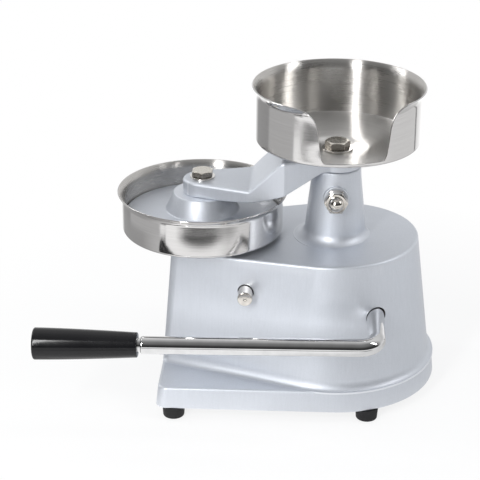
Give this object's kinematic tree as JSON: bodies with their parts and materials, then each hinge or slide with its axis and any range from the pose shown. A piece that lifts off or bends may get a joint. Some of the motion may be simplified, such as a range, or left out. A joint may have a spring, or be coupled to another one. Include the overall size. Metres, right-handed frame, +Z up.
{
  "type": "burger press",
  "caption": "Manual burger press: a cranked side lever raises the swing-arm press disc above a forming bowl and lifts the patty; a paper bowl sits on the arm over the column.",
  "frame": {"origin": "under the middle of the whole object's box, on the surface that the feet stand on", "axes": "+X to the right along the object's length, away from the forming bowl and the grip; +Y to the back, away from the lever bar; +Z up"},
  "size_m": [0.3216, 0.2222, 0.2595],
  "materials": {
    "silver_paint": "smooth silver-grey paint over a casting, soft sheen",
    "stainless_sheet": "polished stainless sheet, faint turning marks",
    "chromed_bar": "bright chrome plating",
    "nickel_fastener": "warm nickel-plated fasteners, machined",
    "plain_steel": "plain machined steel, lightly oiled",
    "bronze_bush": "machined bronze",
    "black_grip": "glossy moulded black plastic",
    "black_rubber": "matt black moulded rubber"
  },
  "bodies": {
    "base": {"housing": "silver_paint", "base_cover": "plain_steel", "cover_screw_front_left": "nickel_fastener", "cover_screw_front_right": "nickel_fastener", "cover_screw_rear_left": "nickel_fastener", "cover_screw_rear_right": "nickel_fastener", "rubber_foot_front_left": "black_rubber", "rubber_foot_front_right": "black_rubber", "rubber_foot_rear_left": "black_rubber", "rubber_foot_rear_right": "black_rubber", "foot_screw_front_left": "nickel_fastener", "foot_screw_front_right": "nickel_fastener", "foot_screw_rear_left": "nickel_fastener", "foot_screw_rear_right": "nickel_fastener", "forming_bowl": "stainless_sheet", "bowl_screw_1": "nickel_fastener", "bowl_screw_2": "nickel_fastener", "bowl_screw_3": "nickel_fastener", "lifter_bush": "bronze_bush", "column_bush_upper": "bronze_bush", "column_bush_lower": "bronze_bush", "guide_screw": "nickel_fastener", "guide_jam_nut": "nickel_fastener", "guide_acorn_nut": "chromed_bar", "lever_bush_front": "bronze_bush", "lever_bush_rear": "bronze_bush"},
    "lever": {"lever_bar": "chromed_bar", "lever_grip": "black_grip", "crank": "plain_steel", "fork_pin_rear": "nickel_fastener", "fork_pin_front": "nickel_fastener", "crank_set_screw": "nickel_fastener", "lever_link_arm": "plain_steel", "lever_link_pin": "nickel_fastener", "lever_collar": "plain_steel", "lever_collar_screw": "nickel_fastener"},
    "link": {"link_rod": "plain_steel"},
    "lift": {"lift_shaft": "nickel_fastener", "lift_finger": "plain_steel", "lift_collar": "plain_steel", "lift_link_arm": "plain_steel", "lift_link_pin": "nickel_fastener"},
    "lifter": {"lifter_foot": "plain_steel", "lifter_nut": "nickel_fastener", "lifter_rod": "plain_steel", "lifter_plate": "stainless_sheet"},
    "press": {"press_shaft": "plain_steel", "thrust_spool": "bronze_bush", "spool_washer": "nickel_fastener", "spool_bolt": "nickel_fastener", "press_arm": "silver_paint", "press_disc": "silver_paint", "disc_washer": "nickel_fastener", "disc_bolt": "nickel_fastener", "paper_bowl": "stainless_sheet", "paper_bowl_washer": "nickel_fastener", "paper_bowl_bolt": "nickel_fastener"}
  },
  "joints": [
    {"name": "lever", "type": "hinge", "parent": "base", "child": "lever", "pos_m": [0.10696, -0.03665, 0.0875], "axis": [0, 1, 0], "range_deg": [0, 74]},
    {"name": "press_slide", "type": "slide", "parent": "base", "child": "press", "axis": [0, 0, 1], "range_m": [0, 0.03972]},
    {"name": "link_swing", "type": "hinge", "parent": "lever", "child": "link", "pos_m": [0.119, 0.05625, 0.07153], "axis": [0, 1, 0], "range_deg": [-74, 0]},
    {"name": "lift_turn", "type": "hinge", "parent": "base", "child": "lift", "pos_m": [0.00236, 0.02335, 0.1], "axis": [0, 1, 0], "range_deg": [0, 74]},
    {"name": "lifter_slide", "type": "slide", "parent": "base", "child": "lifter", "axis": [0, 0, 1], "range_m": [0, 0.01805]}
  ],
  "couplings": [
    {"joint": "press_slide", "follows": "lever", "m_per_rad": 0.03075},
    {"joint": "link_swing", "follows": "lever", "ratio": -1},
    {"joint": "lift_turn", "follows": "lever", "ratio": 1},
    {"joint": "lifter_slide", "follows": "lever", "m_per_rad": 0.01397}
  ]
}
